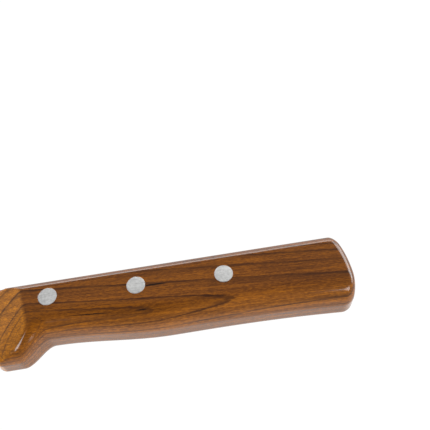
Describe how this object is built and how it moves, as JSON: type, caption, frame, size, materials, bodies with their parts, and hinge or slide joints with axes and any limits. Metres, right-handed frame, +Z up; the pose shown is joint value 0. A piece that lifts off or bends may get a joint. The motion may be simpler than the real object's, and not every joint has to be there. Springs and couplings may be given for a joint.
{
  "type": "boning knife",
  "caption": "Boning knife: narrow ground steel blade whose tang lies in a slotted one-piece hardwood handle with a finger guard, held by flush cutler's rivets.",
  "frame": {"origin": "middle of the knife's box in X and Y, on the plane of the handle side that it lies on", "axes": "+X from the blade's point towards the butt of the handle, +Y towards the spine, +Z up through the knife's thickness as it lies on its side"},
  "size_m": [0.281, 0.0284, 0.0175],
  "materials": {
    "wood": "varnished straight-grained reddish-brown hardwood, glossy",
    "blade_steel": "satin ground stainless steel, lines across the blade",
    "rivet_metal": "satin, ground flush with the wood"
  },
  "bodies": {
    "root": {"wood_handle": "wood", "blade_with_tang": "blade_steel", "rivet_front_female": "rivet_metal", "rivet_front_male": "rivet_metal", "rivet_middle_female": "rivet_metal", "rivet_middle_male": "rivet_metal", "rivet_rear_female": "rivet_metal", "rivet_rear_male": "rivet_metal"}
  },
  "joints": []
}
